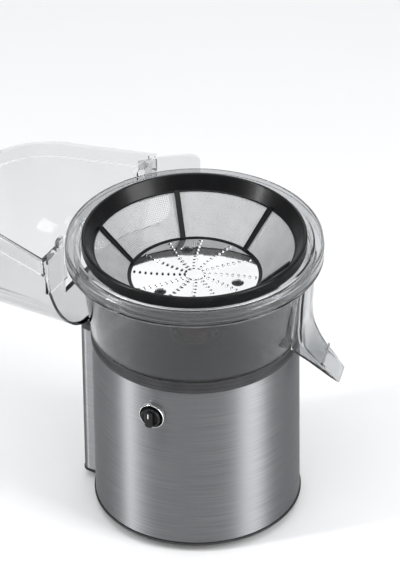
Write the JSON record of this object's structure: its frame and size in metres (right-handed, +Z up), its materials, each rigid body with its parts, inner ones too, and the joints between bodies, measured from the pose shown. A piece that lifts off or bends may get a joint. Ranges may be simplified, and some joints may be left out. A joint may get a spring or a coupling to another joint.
{
  "type": "centrifugal juicer",
  "caption": "Centrifugal juicer without its lid: steel motor base, smoky bowl with spout, spinning mesh filter basket with grating disc, clear side pulp container and speed knob",
  "frame": {"origin": "on the spin axis, on the flat pad in the middle of the base plate's underside; the rubber feet reach 6 mm below it", "axes": "+Z up along the spin axis, -Y towards the speed knob at the front, -X towards the pulp container, spout on the +X side turned 17 degrees towards +Y"},
  "size_m": [0.3285, 0.208, 0.2615],
  "materials": {
    "brushed_housing": "brushed stainless steel with fine horizontal grain",
    "bright_steel": "polished stainless steel",
    "basket_mesh": "photo-etched micro mesh in thin stainless steel sheet",
    "black_gloss": "black moulded plastic, satin to gloss",
    "black_matte": "black moulded plastic, fine matte texture",
    "smoky_clear": "smoke-tinted transparent plastic, glossy",
    "clear_plastic": "clear transparent plastic, glossy",
    "foot_rubber": "soft matte rubber",
    "motor_iron": "stacked electrical steel laminations",
    "bracket_steel": "pressed zinc-plated steel",
    "copper": "enamelled copper wire and copper segments",
    "carbon": "pressed carbon",
    "board": "printed circuit board with solder mask",
    "capacitor_yellow": "moulded capacitor case"
  },
  "bodies": {
    "base": {"housing_drum": "brushed_housing", "side_spine": "brushed_housing", "knob_bezel": "bright_steel", "upper_bearing": "bright_steel", "lower_bearing": "bright_steel", "trim_ring": "black_gloss", "spine_cap": "black_matte", "interlock_switch": "black_matte", "top_deck": "black_matte", "base_plate": "black_matte", "chassis_ring": "black_matte", "rotary_switch": "black_matte", "foot_1": "foot_rubber", "foot_2": "foot_rubber", "foot_3": "foot_rubber", "foot_4": "foot_rubber", "cord_gland": "foot_rubber", "motor_mount_1": "foot_rubber", "motor_mount_2": "foot_rubber", "motor_mount_3": "foot_rubber", "stator_core": "motor_iron", "upper_bracket": "bracket_steel", "lower_bracket": "bracket_steel", "base_screw_1": "bracket_steel", "base_screw_2": "bracket_steel", "base_screw_3": "bracket_steel", "base_screw_4": "bracket_steel", "field_winding_upper": "copper", "field_winding_lower": "copper", "brush_holder_1": "copper", "brush_holder_2": "copper", "carbon_brush_1": "carbon", "carbon_brush_2": "carbon", "control_board": "board", "suppression_capacitor": "capacitor_yellow"},
    "interlock": {"interlock_pin": "black_matte"},
    "knob": {"speed_knob": "black_gloss", "switch_shaft": "bright_steel"},
    "rotor": {"motor_shaft": "bright_steel", "drive_coupling": "black_matte", "rotor_core": "motor_iron", "commutator": "copper", "cooling_fan": "black_matte"},
    "bowl": {"juice_bowl": "smoky_clear", "juice_spout": "smoky_clear", "bowl_bush": "copper"},
    "spindle": {"drive_spindle": "bright_steel", "driven_coupling": "black_matte"},
    "basket": {"basket_frame": "black_gloss", "filter_mesh": "basket_mesh", "grating_disc": "bright_steel", "basket_hub": "black_matte", "disc_screw_1": "black_gloss", "disc_screw_2": "black_gloss", "disc_screw_3": "black_gloss"},
    "container": {"pulp_container": "clear_plastic"}
  },
  "joints": [
    {"name": "motor_spin", "type": "hinge", "parent": "base", "child": "rotor", "pos_m": [0, 0, 0], "axis": [0, 0, 1], "continuous": true},
    {"name": "knob_turn", "type": "hinge", "parent": "base", "child": "knob", "pos_m": [0, 0, 0.127], "axis": [0.0958, -0.9954, 0], "range_deg": [-100, 0]},
    {"name": "interlock_press", "type": "slide", "parent": "base", "child": "interlock", "axis": [0, 0, 1], "range_m": [-0.003, 0], "stiffness_N_per_m": 300, "springref_m": 0.001},
    {"name": "bowl_lift", "type": "slide", "parent": "base", "child": "bowl", "axis": [0, 0, 1], "range_m": [0, 0.1]},
    {"name": "basket_spin", "type": "hinge", "parent": "bowl", "child": "spindle", "pos_m": [0, 0, 0.17], "axis": [0, 0, 1], "continuous": true},
    {"name": "basket_lift", "type": "slide", "parent": "spindle", "child": "basket", "axis": [0, 0, 1], "range_m": [0, 0.09]},
    {"name": "container_pull", "type": "slide", "parent": "bowl", "child": "container", "axis": [-1, 0, 0], "range_m": [0, 0.13]}
  ],
  "couplings": [
    {"joint": "basket_spin", "follows": "motor_spin", "ratio": 1}
  ]
}
